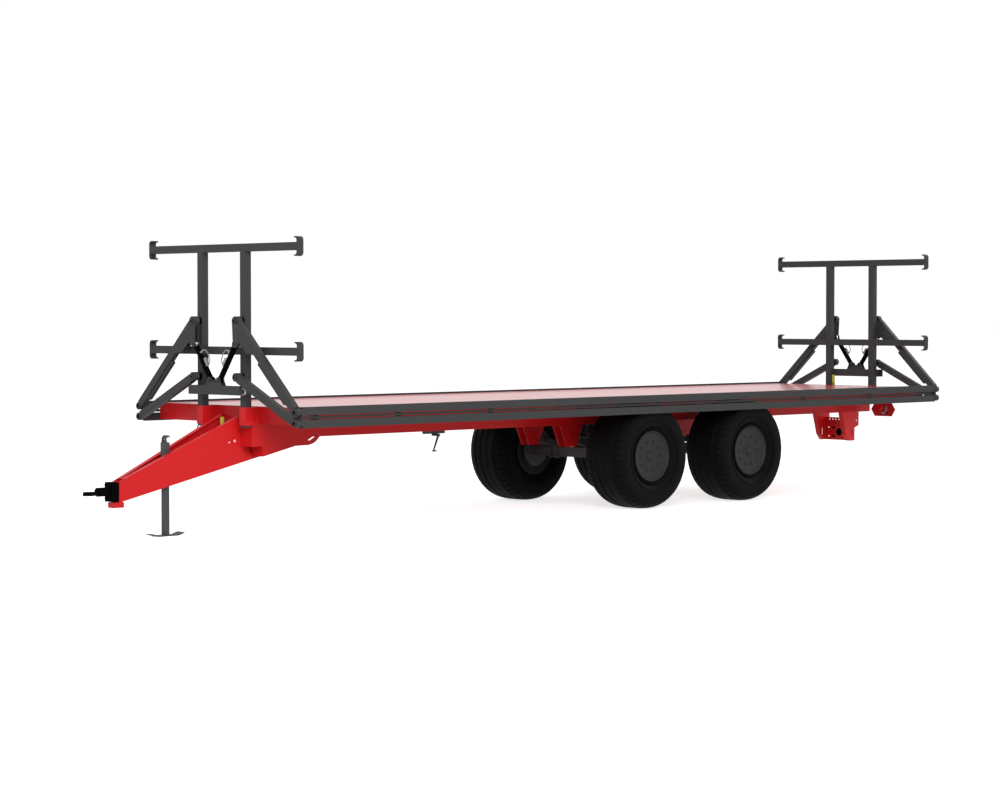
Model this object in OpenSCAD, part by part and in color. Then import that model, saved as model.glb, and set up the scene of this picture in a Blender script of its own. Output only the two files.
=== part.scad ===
// Flatbed bale trailer: tapered drawbar, plate deck between two end frames, and on each side a
// rail that swings out and up on arms. The drawbar points to -Y and the trailer's left is +X.
// The origin is on the ground, under the middle of the whole length.

/* [Overall] */
// Clear length of the load space between the two end frames
load_l = 10390; // [8000:10:12500]
// Towing eye's tip to the front frame's face
tow_reach = 1690; // [1600:10:2100]
// Width of the deck plate
deck_w = 2450; // [2000:10:2940]

/* [Chassis] */
// Distance from the centre to each long beam's middle
beam_x = 300; // [250:5:360]
// Width of a long beam
beam_w = 110; // [90:2:132]
// Depth of a long beam
beam_h = 267; // [223:1:320]
// Depth of the cross members and the side sills
cross_h = 60; // [50:1:72]
// Number of cross members between the two end beams
cross_count = 11; // [6:1:16]
// Thickness of the deck plate
deck_t = 8; // [5:1:12]
// Wall of the square and rectangular tubes
wall = 8; // [5:1:10]
// Thickness of the drawbar's side plates
plate_t = 12; // [8:1:16]

/* [Drawbar] */
// Half width over the plates at the nose
nose_half = 55; // [50:1:66]
// Height of the nose plates' lower edge
nose_low = 365; // [320:5:440]
// Height of the nose plates
nose_h = 207; // [180:1:240]
// Radius of the towing eye's bore
eye_bore_r = 25.5; // [20:0.5:28]
// Outer radius of the towing eye
eye_r = 55; // [46:1:66]
// Thickness of the towing eye
eye_t = 36; // [30:1:43]

/* [Jack] */
// Distance from the front frame's face forward to the jack
jack_back = 710; // [600:10:840]
// Width of the jack's leg
jack_w = 58; // [50:1:70]
// Travel of the jack's leg
jack_travel = 214; // [180:1:240]
// Length of the jack's foot
foot_l = 385; // [320:5:460]

/* [Wheels] */
// Radius of a tyre
tyre_r = 600; // [500:5:720]
// Width of a tyre
tyre_w = 580; // [484:2:696]
// Radius of the rim's edge
rim_r = 287; // [240:1:340]
// Room between a tyre's top and the side sill
tyre_room = 12; // [10:1:60]
// Distance between the two axles
axle_gap = 1745; // [1460:5:2090]
// Distance from the front frame's face to the front axle
axle_front = 5254; // [4400:10:6300]
// Side of the square axle beams
axle_s = 110; // [92:1:132]

/* [End frames] */
// Side of the posts and the crossbars
post = 80; // [67:1:96]
// Distance from the centre to each post's middle
post_x = 346; // [290:2:410]
// How far the crossbars' ends stand in from the deck's edge
bar_inset = 25; // [10:1:100]
// Height of the end frames above the deck
frame_h = 1638; // [1365:1:1966]
// Height of the middle crossbar's centre above the deck
mid_bar_h = 560; // [500:5:580]

/* [Side rails] */
// Height of the upper arm's pivot above the deck
upper_pivot_h = 860; // [820:5:900]
// Height of the lower arm's pivot above the deck
lower_pivot_h = 295; // [285:5:320]
// Gap between the deck's edge and a rail
rail_gap = 10; // [8:1:40]
// Depth of the rail's upper pin below the deck's top
rail_drop = 31; // [0:1:70]
// Distance between the rail's two pins
pin_gap = 110; // [100:1:120]
// Height of the arms' box section
arm_h = 80; // [67:1:84]
// Depth of the arms, along the trailer
arm_d = 60; // [50:1:66]
// Height of a rail tube
tube_h = 82; // [70:1:92]
// Width of a rail tube
tube_w = 58; // [49:1:60]
// Radius of the arms' pivot pins
pin_r = 20; // [16:0.5:24]
// Distance of the cylinder's base pin from the centre
cyl_base_x = 70; // [62:1:80]
// Radius of a cylinder's barrel
barrel_r = 29; // [24:0.5:30]
// Radius of a cylinder's rod
rod_r = 14; // [11:0.5:17]

/* [Hidden] */
$fn = 48;

red = "#c41e22";
grey = "#4a4b4d";
dark = "#2e2f31";
black = "#17181a";
steel = "#a9acb0";

// Clearances
run_clear = 0.06;    // a pin in the bore it turns in
slide_clear = 1;     // the jack's leg in its sleeve
open_clear = 8;      // the lower arm's bore round the rail's pin, the linkage's open pivot
eye_clear = 2.5;     // the rod's eye round its pin
side_gap = 5;        // arm to post boss or rail plate
seat_gap = 0.3;      // a plate fitted between the drawbar's sides

// Stations along the trailer. y = 0 is the middle of the whole length.
arm_gap = 100;                                   // frame's outer face to the arms' outer face
head_t = 12;                                     // thickness of a pin's head
overall_l = tow_reach + 2*post + load_l + arm_gap + head_t;
frame_y = tow_reach - overall_l/2;               // front frame's front face
rear_frame_y = frame_y + 2*post + load_l;        // rear frame's rear face
mid_y = (frame_y + rear_frame_y)/2;              // mirror plane between the two frames
eye_y = -overall_l/2 + eye_r;
beam_face = 150;                                 // frame's face back to the cross beam's face
end_beam_d = 100;                                // depth of the front and rear cross beams
deck_y0 = frame_y + beam_face;
deck_y1 = rear_frame_y - beam_face;
axle1_y = frame_y + axle_front;
axle2_y = axle1_y + axle_gap;
axle_z = tyre_r;
track_x = (deck_w - tyre_w)/2;                   // the tyre's outer face lines up with the deck's edge
deck_top = 2*tyre_r + tyre_room + cross_h + deck_t;
cross_top = deck_top - deck_t;
beam_top = cross_top - cross_h;
beam_low = beam_top - beam_h;
sill_w = 60;
end_beam_h = 167;
// Heights on the end frames, all carried by the deck
frame_top = deck_top + frame_h;
mid_bar = deck_top + mid_bar_h;
bar_half = deck_w/2 - bar_inset;
upper_z = deck_top + upper_pivot_h;
lower_z = deck_top + lower_pivot_h;
rail_x = deck_w/2 + rail_gap + tube_w/2;
rail_z = deck_top - rail_drop;

// Front to rear: children are drawn for the front frame and mirrored for the rear one.
module at_end(rear) { if (rear) translate([0, 2*mid_y, 0]) mirror([0, 1, 0]) children(); else children(); }
// Left to right: children are drawn for the left side (+X).
module at_side(right) { if (right) mirror([1, 0, 0]) children(); else children(); }
module both_sides() { for (right = [false, true]) at_side(right) children(); }

// A plate in the Y-Z plane: outline points are [y, z], thickness runs from x0 towards +X.
module yz_plate(outline, x0, t) { translate([x0, 0, 0]) rotate([90, 0, 90]) linear_extrude(t) polygon(outline); }
// A plate in the X-Z plane: outline points are [x, z], thickness runs from y0 towards +Y.
module xz_plate(outline, y0, t) { translate([0, y0 + t, 0]) rotate([90, 0, 0]) linear_extrude(t) polygon(outline); }
module x_rod(p, r, l) { translate(p) rotate([0, 90, 0]) cylinder(r = r, h = l); }
module y_rod(p, r, l) { translate(p) rotate([-90, 0, 0]) cylinder(r = r, h = l); }
module box(x0, x1, y0, y1, z0, z1) { translate([x0, y0, z0]) cube([x1 - x0, y1 - y0, z1 - z0]); }
// A hollow box tube along one axis, open at both ends.
module tube_x(x0, x1, y0, y1, z0, z1, t = wall) {
  difference() {
    box(x0, x1, y0, y1, z0, z1);
    box(x0 - 1, x1 + 1, y0 + t, y1 - t, z0 + t, z1 - t);
  }
}
module tube_y(x0, x1, y0, y1, z0, z1, t = wall) {
  difference() {
    box(x0, x1, y0, y1, z0, z1);
    box(x0 + t, x1 - t, y0 - 1, y1 + 1, z0 + t, z1 - t);
  }
}
module tube_z(x0, x1, y0, y1, z0, z1, t = wall) {
  difference() {
    box(x0, x1, y0, y1, z0, z1);
    box(x0 + t, x1 - t, y0 + t, y1 - t, z0 - 1, z1 + 1);
  }
}

// ---------------------------------------------------------------- drawbar
// Two tapered plates run from the nose back between the long beams. Straight plates outside the
// beams carry on from there, and a box under each corner of the front beam joins the two pairs.
side_x = beam_x + beam_w/2;                      // inner face of the straight plates
nose_y = -overall_l/2 + 380;
nose_top = nose_low + nose_h;
end_beam_low = cross_top - end_beam_h;
beam_y0 = deck_y0 + end_beam_d;                  // the long beams run between the end beams
beam_y1 = deck_y1 - end_beam_d;
taper_y = frame_y + 340;                         // rear end of the tapered plates
taper_half = 200;                                // half width over them there
taper_run = taper_y - nose_y;
taper = atan((taper_half - nose_half)/taper_run);
taper_k = 1/cos(taper);                          // a plate's own length for each mm along the trailer
butt_y = deck_y0 - 2;                            // the plates' upper edge meets the front beam here
butt_top = end_beam_low + 96;
taper_low = beam_low - 188;
flange_w = 40;
flange_t = 8;
tail_y = frame_y + 1020;                         // rear end of the straight plates
// Outline of a straight plate: along the bottom to the rounded tail and back along the top
straight_outline = [[beam_y0, beam_low - 178], [frame_y + 670, beam_low - 86], [frame_y + 850, beam_low - 83],
  [frame_y + 905, beam_low - 70], [frame_y + 955, beam_low - 42], [tail_y - 20, beam_low],
  [tail_y, beam_low + 40], [tail_y, beam_top], [beam_y0, beam_top]];
// Outline of a tapered plate in its own length: 0 is its rear end
function own(y) = (y - taper_y)*taper_k;
bent_outline = [[0, taper_low], [0, end_beam_low], [own(butt_y), end_beam_low], [own(butt_y), butt_top],
  [own(nose_y), nose_top], [own(nose_y), nose_low]];
function inner_half(y) = taper_half - plate_t*taper_k - (taper_y - y)*tan(taper);
function low_edge(y) = nose_low + (y - nose_y)*(taper_low - nose_low)/taper_run;
function top_edge(y) = nose_top + (y - nose_y)*(butt_top - nose_top)/(butt_y - nose_y);
// A strip that lines one edge of a tapered plate on its inside
module flange(y0, z0, y1, z1) {
  yz_plate([[own(y0), z0], [own(y0), z0 + flange_t], [own(y1), z1 + flange_t], [own(y1), z1]], -flange_w, flange_w);
}
module drawbar_side(right) {
  at_side(right) {
    difference() {
      yz_plate(straight_outline, side_x, plate_t);
      // slot that slants up to the tail
      translate([side_x - 1, tail_y - 120, beam_low - 10]) rotate([26, 0, 0])
        box(0, plate_t + 2, -60, 60, -9, 9);
    }
    translate([taper_half - plate_t*taper_k, taper_y, 0]) rotate([0, 0, -taper]) {
      yz_plate(bent_outline, 0, plate_t);
      flange(nose_y + 60, top_edge(nose_y + 60) - flange_t, butt_y - 30, top_edge(butt_y - 30) - flange_t);
      flange(nose_y + 60, low_edge(nose_y + 60), taper_y, taper_low);
    }
    // box under the front beam's corner, and the plate that closes the side below it
    tube_z(pocket_x, side_x + plate_t, frame_y + 100, beam_y0 - 1, beam_low - 75, socket_low - seat_gap);
    box(pocket_x, side_x + plate_t, deck_y0 + 1, beam_y0 - 1, socket_low - 12, end_beam_low - seat_gap);
    box(pocket_x - 6, side_x + plate_t, beam_y0 - 12, beam_y0, beam_low - 178, beam_low - 75);
  }
}
lip_half = 50;
lip_run = 60;                                    // the lip reaches this far before and behind the nose
lip_h = 50;
pocket_x = inner_half(beam_y0) - 1;              // inner face of the corner boxes, let into the plates
module drawbar() {
  color(red) {
    for (right = [false, true]) drawbar_side(right);
    // nose plate between the two sides, and the lip below it
    w = nose_half - plate_t/2;
    box(-w, w, nose_y - 6, nose_y + 16, nose_low + 2, nose_top - 3);
    box(-lip_half, lip_half, nose_y - lip_run, nose_y + lip_run, nose_low - lip_h, nose_low + 4);
  }
}
jack_y = frame_y - jack_back;
sleeve_t = 3;                                    // wall of the jack's square sleeve
sleeve_w = jack_w + 2*slide_clear + 2*sleeve_t;
// A cross plate between the drawbar's sides, at station y
module cross_plate(y, z0, z1, t = 10) {
  w = inner_half(y) - seat_gap;
  box(-w, w, y, y + t, z0, z1);
}
module drawbar_braces() {
  color(red) {
    for (side = [-1, 1]) {
      y = jack_y + side*(sleeve_w/2 + 5 + seat_gap) - 5;
      cross_plate(y, low_edge(jack_y) + 40, top_edge(jack_y) - 50);
    }
    cross_plate(frame_y - 200, low_edge(frame_y - 200) + 40, top_edge(frame_y - 200) - 60);
    tube_x(-side_x + seat_gap, side_x - seat_gap, taper_y + 20, taper_y + 120, beam_low - 120, beam_low - 20);
  }
}
block_d = 90;                                    // depth of the bolted block in front of the nose
module tow_block() {
  color(black) {
    box(-62, 62, nose_y - block_d, nose_y - 6, nose_low + 12, nose_top - 4);
  }
}
tow_z = nose_low + 112;                          // height of the towing eye's centre
module tow_eye() {
  color(black) {
    difference() {
      union() {
        translate([0, eye_y, tow_z - 12 - eye_t/2]) cylinder(r = eye_r, h = eye_t);
        box(-34, 34, eye_y + 36, eye_y + 140, tow_z - 12 - eye_t/2, tow_z - 12 + eye_t/2);
      }
      translate([0, eye_y, tow_z - 100]) cylinder(r = eye_bore_r, h = 200);
    }
    y_rod([0, eye_y + 100, tow_z], 44, nose_y - block_d - eye_y - 100);
  }
}

// ---------------------------------------------------------------- jack
sleeve_low = low_edge(jack_y) + 2;
sleeve_top = top_edge(jack_y) + 94;
leg_top = sleeve_top - jack_travel - 12;
module jack_sleeve() {
  s = sleeve_w/2;
  color(dark) {
    tube_z(-s, s, jack_y - s, jack_y + s, sleeve_low, sleeve_top, sleeve_t);
    box(-s, s, jack_y - s, jack_y + s, sleeve_top, sleeve_top + 8);
    // two cheeks and a bent grip on the head
    for (x = [-26, 18])
      yz_plate([[jack_y - 28, sleeve_top + 8], [jack_y + 10, sleeve_top + 8], [jack_y - 4, sleeve_top + 46],
        [jack_y + 22, sleeve_top + 62], [jack_y + 42, sleeve_top + 56], [jack_y + 40, sleeve_top + 74],
        [jack_y + 6, sleeve_top + 82], [jack_y - 22, sleeve_top + 62]], x, 8);
    x_rod([-18, jack_y - 10, sleeve_top + 50], 10, 36);
  }
}
foot_w = 120;
foot_t = 10;
foot_flat = foot_l/2 - 75;                       // the foot's ends bend up beyond this
foot_rise = 22;
foot_outline = [[jack_y - foot_l/2, foot_rise], [jack_y - foot_flat, 0], [jack_y + foot_flat, 0],
  [jack_y + foot_l/2, foot_rise], [jack_y + foot_l/2, foot_rise + foot_t], [jack_y + foot_flat, foot_t],
  [jack_y - foot_flat, foot_t], [jack_y - foot_l/2, foot_rise + foot_t]];
module jack_leg() {
  h = jack_w/2;
  color(dark) {
    tube_z(-h, h, jack_y - h, jack_y + h, foot_t, leg_top, 6);
    yz_plate(foot_outline, -foot_w/2, foot_w);
  }
}

// ---------------------------------------------------------------- chassis
module chassis_beams() {
  color(red) both_sides() {
    tube_y(beam_x - beam_w/2, beam_x + beam_w/2, beam_y0, beam_y1, beam_low, beam_top);
    // the lower half runs on under the rear beam
    tube_y(beam_x - beam_w/2, beam_x + beam_w/2, beam_y1, rear_frame_y - beam_end, beam_low, socket_low - 22);
  }
}
beam_end = 100;                                  // rear frame's face to the long beams' ends
cross_x = deck_w/2 - sill_w;                     // the cross members end at the sills
cross_w = 70;
cross_run = beam_y1 - beam_y0;
module cross_members() {
  color(red) for (i = [1:cross_count]) {
    y = beam_y0 + i*cross_run/(cross_count + 1) - cross_w/2;
    tube_x(-cross_x, cross_x, y, y + cross_w, beam_top, cross_top, 6);
  }
}
module side_sills() {
  color(red) both_sides()
    tube_y(cross_x, deck_w/2, beam_y0, beam_y1, beam_top, cross_top, 6);
}
// One end beam with the two sockets that the posts stand in
socket_t = 10;
socket_low = cross_top - 185;
module end_beam() {
  top = cross_top;
  difference() {
    union() {
      tube_x(-deck_w/2, deck_w/2, deck_y0, deck_y0 + end_beam_d, end_beam_low, top);
      both_sides()
        box(post_x - post/2 - socket_t, post_x + post/2 + socket_t, frame_y - 6, deck_y0, socket_low, top);
    }
    both_sides() box(post_x - post/2, post_x + post/2, frame_y, frame_y + post, socket_low - 1, top + 1);
  }
}
module front_beam() { color(red) end_beam(); }
module rear_beam() { color(red) at_end(true) end_beam(); }
module deck() { color(red) box(-deck_w/2, deck_w/2, deck_y0, deck_y1, cross_top, deck_top); }

// ---------------------------------------------------------------- end frames
low_bar_z = deck_top + 160;                      // centre of the lower bar in front of the posts
low_bar_h = 92;
low_bar_half = 412;
low_bar_top = low_bar_z + low_bar_h/2;
ear_r = 34;                                      // rounded top of an ear round the cylinder's pin
arm_y0 = frame_y - arm_gap;                      // arms' outer face
arm_y1 = arm_y0 + arm_d;
arm_mid = arm_y0 + arm_d/2;
cyl_base_z = low_bar_z + 100;
base_eye_r = 26;
ear_t = 8;
eye_w = arm_d - 2*ear_t - 4;                     // width of a cylinder's eye
// Bent end plate of a crossbar: a flat bar with its upper and lower ends curled inwards
hook_h = 196;
hook_t = 16;
hook_r = 38;                                     // outer radius of the curled ends
hook_lip = 14;                                   // straight bit beyond each curl
module end_hook(z) {
  x0 = bar_half - hook_t;
  box(x0, bar_half, frame_y, frame_y + post, z - hook_h/2 + hook_r, z + hook_h/2 - hook_r);
  for (end = [-1, 1]) translate([0, 0, z]) mirror([0, 0, end > 0 ? 0 : 1]) {
    intersection() {
      difference() {
        y_rod([bar_half - hook_r, frame_y, hook_h/2 - hook_r], hook_r, post);
        y_rod([bar_half - hook_r, frame_y - 1, hook_h/2 - hook_r], hook_r - hook_t, post + 2);
      }
      box(bar_half - hook_r, bar_half + 1, frame_y, frame_y + post, hook_h/2 - hook_r, hook_h/2 + 1);
    }
    box(bar_half - hook_r - hook_lip, bar_half - hook_r, frame_y, frame_y + post, hook_h/2 - hook_t, hook_h/2);
  }
}
module end_frame() {
  color(grey) {
    both_sides() {
      tube_z(post_x - post/2, post_x + post/2, frame_y, frame_y + post, socket_low - 20, frame_top - post);
      // the middle crossbar outside the posts
      tube_x(post_x + post/2, bar_half - hook_t, frame_y, frame_y + post, mid_bar - post/2, mid_bar + post/2);
      for (z = [mid_bar, frame_top - post/2]) end_hook(z);
    }
    tube_x(-post_x + post/2, post_x - post/2, frame_y, frame_y + post, mid_bar - post/2, mid_bar + post/2);
    tube_x(-bar_half + hook_t, bar_half - hook_t, frame_y, frame_y + post, frame_top - post, frame_top);
    // lower bar with the ears for the two cylinders
    tube_x(-low_bar_half, low_bar_half, arm_y0, frame_y, low_bar_z - low_bar_h/2, low_bar_top);
    for (y = [arm_y0, arm_y1 - ear_t])
      difference() {
        union() {
          xz_plate([[-cyl_base_x - 62, low_bar_top], [cyl_base_x + 62, low_bar_top],
            [cyl_base_x + ear_r, cyl_base_z], [-cyl_base_x - ear_r, cyl_base_z]], y, ear_t);
          both_sides() y_rod([cyl_base_x, y, cyl_base_z], ear_r, ear_t);
        }
        both_sides() y_rod([cyl_base_x, y - 1, cyl_base_z], pin_r*0.6 + run_clear, ear_t + 2);
      }
  }
}
module front_frame() { end_frame(); }
module rear_frame() { at_end(true) end_frame(); }
// Pins that carry the arms, with a boss against the post, and the cylinders' base pins
module end_pins() {
  color(black) both_sides() {
    for (z = [upper_z, lower_z]) {
      y_rod([post_x, arm_y0 - 1, z], pin_r, arm_gap + 1);
      y_rod([post_x, arm_y0 - head_t, z], pin_r + 6, head_t - 1);
      y_rod([post_x, arm_y1 + side_gap, z], 36, frame_y - arm_y1 - side_gap);
    }
    y_rod([cyl_base_x, arm_y0 - 6, cyl_base_z], pin_r*0.6, arm_d + 12);
  }
}
module front_pins() { end_pins(); }
module rear_pins() { at_end(true) end_pins(); }

// ---------------------------------------------------------------- arms and rails
low_pin_z = rail_z - pin_gap;
upper_run = [rail_x - post_x, rail_z - upper_z];
lower_run = [rail_x - post_x, low_pin_z - lower_z];
upper_l = norm(upper_run);
lower_l = norm(lower_run);
upper_tilt = atan2(upper_run[1], upper_run[0]);
lower_tilt = atan2(lower_run[1], lower_run[0]);
arm_pin_r = 15;                                  // pins of the rail plates
// cylinder's rod pin, on the upper arm's gusset, as an offset from the arm's pivot
rod_pin = [-18, -234];
rod_pin_r = 12;
// Places children in an arm's own plane: local x runs along the arm, local y across it (upwards),
// local z from the outer face inwards.
module arm_frame(z, tilt) { translate([post_x, arm_y0, z]) rotate([90, 0, 0]) rotate([0, 0, tilt]) mirror([0, 0, 1]) children(); }
function turn(p, a) = [p[0]*cos(a) - p[1]*sin(a), p[0]*sin(a) + p[1]*cos(a)];
module arm_box(x0, x1, h) {
  difference() {
    translate([x0, -h/2, 0]) cube([x1 - x0, h, arm_d]);
    translate([x0 - 1, -h/2 + 6, 6]) cube([x1 - x0 + 2, h - 12, arm_d - 12]);
  }
}
module upper_arm() {
  g = turn(rod_pin, -upper_tilt);                // rod pin in the arm's plane
  edge = -arm_h/2;                               // arm's lower face
  color(grey) arm_frame(upper_z, upper_tilt) {
    difference() {
      union() {
        arm_box(40, upper_l - 30, arm_h);
        cylinder(r = arm_h/2 + 8, h = arm_d);
        translate([upper_l, 0, 0]) cylinder(r = arm_h/2, h = arm_d);
      }
      translate([0, 0, -1]) cylinder(r = pin_r + run_clear, h = arm_d + 2);
      translate([upper_l, 0, -1]) cylinder(r = arm_pin_r + run_clear, h = arm_d + 2);
    }
    // two gusset plates that take the cylinder's rod eye between them
    for (z = [0, arm_d - ear_t]) translate([0, 0, z]) difference() {
      union() {
        linear_extrude(ear_t) polygon([[g[0] - 31, g[1] + 8], [-20, edge - 4], [60, edge + 1], [440, edge + 1],
          [345, edge - 68], [g[0] + 46, edge - 74], [g[0] + 31, g[1] + 8]]);
        translate(g) cylinder(r = 32, h = ear_t);
      }
      translate([g[0], g[1], -1]) cylinder(r = rod_pin_r + run_clear, h = ear_t + 2);
    }
    translate([g[0], g[1], -4]) cylinder(r = rod_pin_r, h = arm_d + 8);
    // narrow bar below the arm, on a tab at each end
    translate([545, -arm_h/2 - 32, arm_d/2 - 20]) cube([565, 24, 40]);
    for (x = [545, 1080]) translate([x, -arm_h/2 - 10, arm_d/2 - 20]) cube([30, 11, 40]);
  }
}
module lower_arm() {
  color(grey) arm_frame(lower_z, lower_tilt) difference() {
    union() {
      arm_box(36, lower_l - 36, arm_h);
      cylinder(r = arm_h/2 + 4, h = arm_d);
      translate([lower_l, 0, 0]) cylinder(r = arm_h/2, h = arm_d);
    }
    translate([0, 0, -1]) cylinder(r = pin_r + run_clear, h = arm_d + 2);
    translate([lower_l, 0, -1]) cylinder(r = arm_pin_r + open_clear, h = arm_d + 2);
  }
}
plate_y0 = arm_y1 + side_gap;                    // rail's end plate, behind the arms
rail_plate_t = 14;
tube_off = 8;                                    // a tube's middle lies this far beyond its pin
spacer_count = 7;
spacer_half = 40;
spacer_t = 8;
lobe_r = 38;                                     // rounded ends of a rail's end plate
rail_plate_half = 36;
module rail_end() {
  for (z = [rail_z, low_pin_z]) {
    y_rod([rail_x, plate_y0, z], lobe_r, rail_plate_t);
    y_rod([rail_x, arm_y0 - 1, z], arm_pin_r, arm_d + side_gap + 1 + rail_plate_t);
    y_rod([rail_x, arm_y0 - 6, z], arm_pin_r + open_clear + 5, 5);
  }
  box(rail_x - rail_plate_half, rail_x + rail_plate_half, plate_y0, plate_y0 + rail_plate_t, low_pin_z, rail_z);
}
module rail() {
  color(grey) {
    rail_end();
    at_end(true) rail_end();
    y0 = plate_y0 + rail_plate_t;
    y1 = 2*mid_y - y0;
    for (z = [rail_z + tube_off, low_pin_z - tube_off])
      tube_y(rail_x - tube_w/2, rail_x + tube_w/2, y0, y1, z - tube_h/2, z + tube_h/2, 5);
    // short spacer plates between the two tubes, on the deck's side
    for (i = [1:spacer_count]) {
      y = y0 + i*(y1 - y0)/(spacer_count + 1);
      box(rail_x - tube_w/2, rail_x - tube_w/2 + spacer_t, y - spacer_half, y + spacer_half,
        low_pin_z - tube_off + tube_h/2 - 1, rail_z + tube_off - tube_h/2 + 1);
    }
  }
}

// ---------------------------------------------------------------- cylinders
cyl_run = [post_x + rod_pin[0] - cyl_base_x, upper_z + rod_pin[1] - cyl_base_z];
cyl_l = norm(cyl_run);
cyl_tilt = atan2(cyl_run[1], cyl_run[0]);
gland = cyl_l - 40;
module cyl_frame() { translate([cyl_base_x, arm_mid, cyl_base_z]) rotate([0, 90 - cyl_tilt, 0]) children(); }
module barrel() {
  color(black) cyl_frame() difference() {
    union() {
      translate([0, -eye_w/2, 0]) rotate([-90, 0, 0]) cylinder(r = base_eye_r, h = eye_w);
      translate([-base_eye_r + 4, -eye_w/2, 0]) cube([2*base_eye_r - 8, eye_w, base_eye_r + 20]);
      translate([0, 0, base_eye_r + 14]) cylinder(r = barrel_r, h = gland - base_eye_r - 14);
    }
    translate([0, -eye_w, 0]) rotate([-90, 0, 0]) cylinder(r = pin_r*0.6 + run_clear, h = 2*eye_w);
    translate([0, 0, base_eye_r + 34]) cylinder(r = rod_r + run_clear, h = cyl_l);
  }
}
module rod() {
  color(steel) cyl_frame() difference() {
    union() {
      translate([0, 0, base_eye_r + 40]) cylinder(r = rod_r, h = cyl_l - base_eye_r - 60);
      translate([0, -eye_w/2, cyl_l]) rotate([-90, 0, 0]) cylinder(r = 24, h = eye_w);
    }
    translate([0, -eye_w, cyl_l]) rotate([-90, 0, 0]) cylinder(r = rod_pin_r + eye_clear, h = 2*eye_w);
  }
}

// ---------------------------------------------------------------- axles and wheels
spring_x = beam_x;
spring_w = 75;
spring_half = 470;                               // axle to the eye at either end of a leaf pack
spring_sag = 36;                                 // rise of the main leaf from the axle to its eyes
leaf_t = 12;
leaf_count = 5;
leaf_step = 0.16;                                // each leaf is this share shorter than the main one
leaf_r = (spring_half*spring_half + spring_sag*spring_sag)/(2*spring_sag);
seat_z = axle_z + axle_s/2;
seat_t = 20;                                     // pad between the axle and the leaves
main_z = seat_z + seat_t + leaf_count*leaf_t;    // top of the main leaf over the axle
spring_pin_r = 15;
spring_eye_r = 25;
eye_z = main_z + spring_sag - leaf_t/2;
hanger_y = axle1_y - spring_half;
rear_hanger_y = axle2_y + spring_half;
rocker_y = (axle1_y + axle2_y)/2;
rocker_half = axle_gap/2 - spring_half;          // the equaliser reaches from its pin to the springs' eyes
rocker_t = 10;
hanger_half = spring_w/2 + rocker_t + 4;         // inside of a hanger's cheeks
hanger_t = 10;
cap_t = 14;                                      // clamp plates above the leaves and below the axle
bolt_r = 9;
module hanger(y, l_top, l_low) {
  low = eye_z - 70;
  both_sides() {
    for (x = [spring_x - hanger_half - hanger_t, spring_x + hanger_half])
      yz_plate([[y - l_top/2, beam_low], [y + l_top/2, beam_low], [y + l_low/2, low], [y - l_low/2, low]],
        x, hanger_t);
    x_rod([spring_x - hanger_half - hanger_t - 8, y, eye_z], spring_pin_r, 2*(hanger_half + hanger_t + 8));
  }
}
module hangers() {
  color(red) {
    hanger(hanger_y, 380, 160);
    hanger(rocker_y, 420, 180);
    hanger(rear_hanger_y, 380, 160);
  }
}
// Leaves are arcs that sag towards the axle, each shorter than the one above it
function leaf_rise(u, r) = r - sqrt(r*r - u*u);
module leaf(y, i) {
  half = spring_half*(1 - leaf_step*i) - (i == 0 ? spring_eye_r - 4 : 0);
  z = main_z - i*leaf_t;
  r = leaf_r + i*leaf_t;
  steps = 8;
  top = [for (k = [0:steps]) let (u = half*(2*k/steps - 1)) [y + u, z + leaf_rise(u, r)]];
  low = [for (k = [steps:-1:0]) top[k] - [0, leaf_t + 1]];
  yz_plate(concat(top, low), spring_x - spring_w/2, spring_w);
}
module spring_eye(y) {
  difference() {
    x_rod([spring_x - spring_w/2, y, eye_z], spring_eye_r, spring_w);
    x_rod([spring_x - spring_w/2 - 1, y, eye_z], spring_pin_r + run_clear, spring_w + 2);
  }
}
module leaf_springs() {
  color(dark) both_sides() for (y = [axle1_y, axle2_y]) {
    for (i = [0:leaf_count - 1]) leaf(y, i);
    for (side = [-1, 1]) spring_eye(y + side*spring_half);
    // pad on the axle, and the clamp plates with their four bolts
    box(spring_x - spring_w/2, spring_x + spring_w/2, y - 80, y + 80, seat_z, seat_z + seat_t);
    for (z = [main_z, seat_z - axle_s - cap_t])
      box(spring_x - 62, spring_x + 62, y - 80, y + 80, z, z + cap_t);
    for (x = [-50, 50], u = [-66, 66])
      translate([spring_x + x, y + u, seat_z - axle_s - cap_t - 12])
        cylinder(r = bolt_r, h = main_z - seat_z + axle_s + 2*cap_t + 24);
  }
}
// Equaliser on the middle hanger's pin, joined to both springs' eyes
module equalisers() {
  color(dark) both_sides() {
    for (x = [spring_x - spring_w/2 - rocker_t - 1, spring_x + spring_w/2 + 1]) difference() {
      yz_plate([[rocker_y - rocker_half - 30, eye_z - 30], [rocker_y + rocker_half + 30, eye_z - 30],
        [rocker_y + rocker_half + 30, eye_z + 30], [rocker_y + 60, eye_z + 55],
        [rocker_y - 60, eye_z + 55], [rocker_y - rocker_half - 30, eye_z + 30]], x, rocker_t);
      x_rod([x - 1, rocker_y, eye_z], spring_pin_r + run_clear, rocker_t + 2);
    }
    for (side = [-1, 1])
      x_rod([spring_x - spring_w/2 - rocker_t - 3, rocker_y + side*rocker_half, eye_z], spring_pin_r,
        spring_w + 2*rocker_t + 6);
    // spacer between the two plates
    box(spring_x - spring_w/2 - 1, spring_x + spring_w/2 + 1, rocker_y - 150, rocker_y - 40, eye_z - 10, eye_z + 10);
    box(spring_x - spring_w/2 - 1, spring_x + spring_w/2 + 1, rocker_y + 40, rocker_y + 150, eye_z - 10, eye_z + 10);
  }
}
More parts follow.
